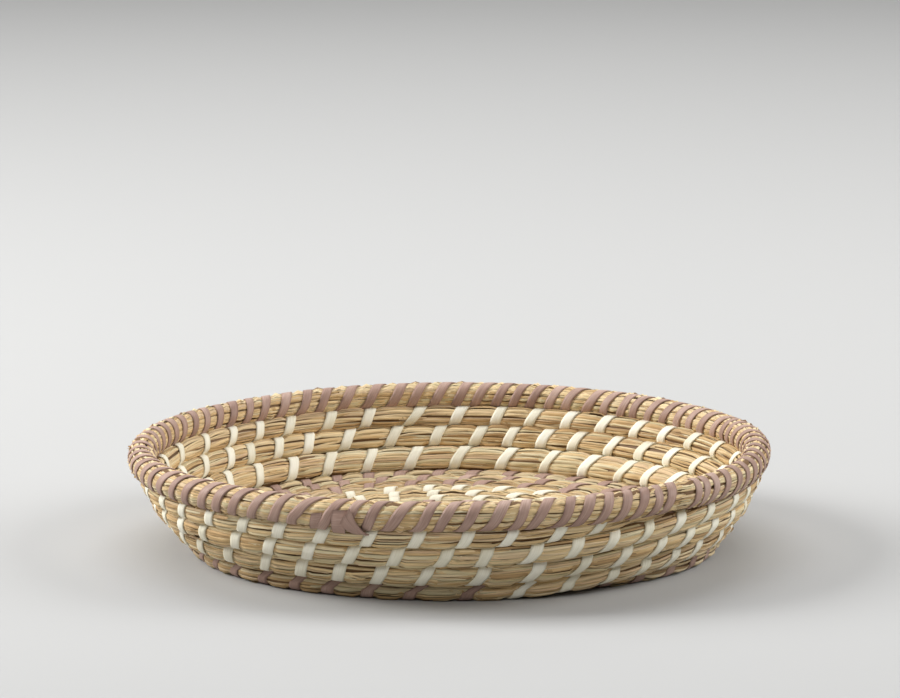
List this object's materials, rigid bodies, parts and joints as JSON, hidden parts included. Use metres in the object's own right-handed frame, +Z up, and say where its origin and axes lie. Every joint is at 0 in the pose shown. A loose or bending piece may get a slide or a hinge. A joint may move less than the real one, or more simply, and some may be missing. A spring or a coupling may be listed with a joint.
{
  "type": "coiled grass basket",
  "caption": "Shallow round basket of coiled grass, sewn with white and mauve strips, with a leaning wall and a double-lashed rim.",
  "frame": {"origin": "on the table, under the middle of the basket", "axes": "+Z up through the middle of the basket, -Y towards the front that the picture shows, +X to the right"},
  "size_m": [0.3288, 0.329, 0.0548],
  "materials": {
    "grass": "dry straw, matte with a slight sheen along the blades",
    "white_strip": "matte bleached palm strip",
    "mauve_strip": "dyed palm strip with a soft satin sheen"
  },
  "bodies": {
    "root": {"start_knot": "grass", "floor_coil": "grass", "wall_coil_1": "grass", "wall_coil_2": "grass", "wall_coil_3": "grass", "rim_coil": "grass", "centre_mauve_stitching_1": "mauve_strip", "centre_mauve_stitching_2": "mauve_strip", "centre_mauve_stitching_3": "mauve_strip", "centre_mauve_stitching_4": "mauve_strip", "floor_white_stitching_1": "white_strip", "floor_white_stitching_2": "white_strip", "floor_white_stitching_3": "white_strip", "base_mauve_stitching_1": "mauve_strip", "base_mauve_stitching_2": "mauve_strip", "base_mauve_stitching_3": "mauve_strip", "wall_white_stitching_1": "white_strip", "wall_white_stitching_2": "white_strip", "wall_white_stitching_3": "white_strip", "rim_lashing_1": "mauve_strip", "rim_lashing_2": "mauve_strip", "rim_strip_tuck": "mauve_strip"}
  },
  "joints": []
}
